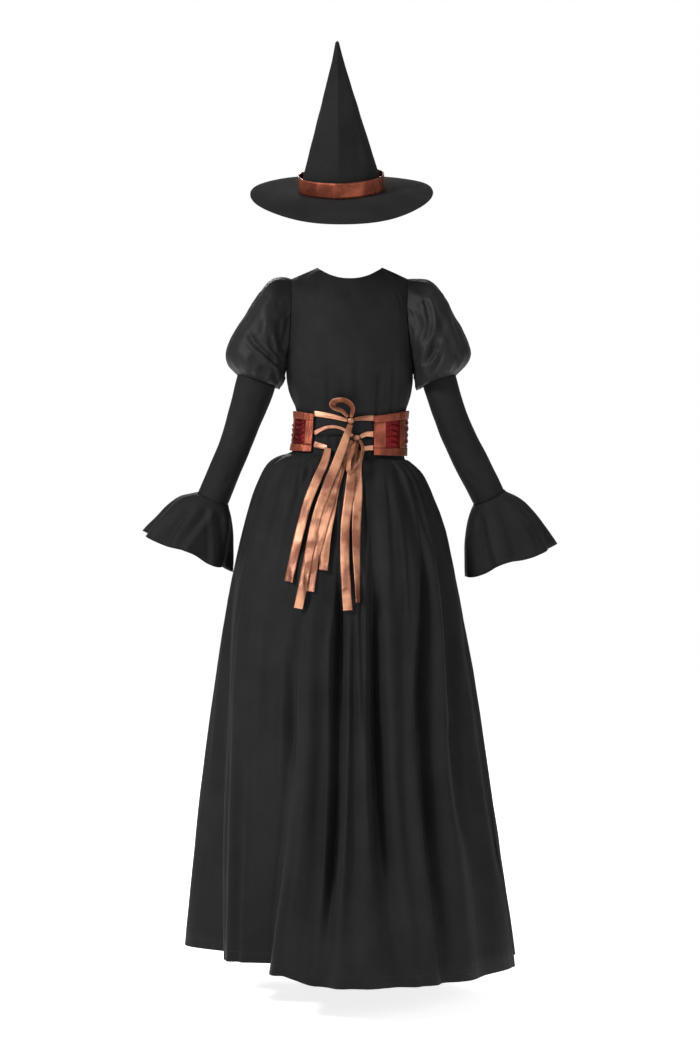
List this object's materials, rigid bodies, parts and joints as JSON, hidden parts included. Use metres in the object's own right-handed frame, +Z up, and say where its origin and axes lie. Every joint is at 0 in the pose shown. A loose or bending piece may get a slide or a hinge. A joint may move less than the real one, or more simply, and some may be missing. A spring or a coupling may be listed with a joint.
{
  "type": "witch costume",
  "caption": "Long black dress with puffed sleeves, bell cuffs and a gathered skirt, a laced red and copper waist cincher, and a pointed hat with a satin band, kept in their worn form.",
  "frame": {"origin": "midway between the outer ends of the two shoulder seams, where the wearer's shoulders hold the dress", "axes": "+Z up, -Y towards the wearer's front, +X to the wearer's left"},
  "size_m": [0.8977, 0.5612, 1.9381],
  "materials": {
    "black_cloth": "matte with a soft sheen",
    "black_felt": "matte",
    "red_satin": "satin",
    "copper_satin": "satin"
  },
  "bodies": {
    "root": {"bodice_back": "black_cloth", "bodice_front": "black_cloth", "skirt_back": "black_cloth", "skirt_front": "black_cloth", "puff_left": "black_cloth", "puff_right": "black_cloth", "sleeve_left": "black_cloth", "sleeve_right": "black_cloth", "cuff_left": "black_cloth", "cuff_right": "black_cloth", "hat_crown": "black_felt", "hat_brim": "black_felt", "belt_panel_left": "red_satin", "belt_panel_front": "red_satin", "belt_panel_right": "red_satin", "hat_band": "copper_satin", "belt_binding_top": "copper_satin", "belt_binding_bottom": "copper_satin", "belt_bar_end_left": "copper_satin", "belt_bar_side_left": "copper_satin", "belt_bar_side_right": "copper_satin", "belt_bar_end_right": "copper_satin", "lace_left_top": "copper_satin", "lace_left_middle": "copper_satin", "lace_left_bottom": "copper_satin", "lace_right_top": "copper_satin", "lace_right_middle": "copper_satin", "lace_right_bottom": "copper_satin", "knot_upper": "copper_satin", "knot_lower": "copper_satin", "bow_loop_upper": "copper_satin", "bow_loop_lower": "copper_satin", "ribbon_end_a": "copper_satin", "ribbon_end_b": "copper_satin", "ribbon_end_c": "copper_satin", "ribbon_end_d": "copper_satin", "ribbon_end_e": "copper_satin", "ribbon_end_f": "copper_satin"}
  },
  "joints": []
}
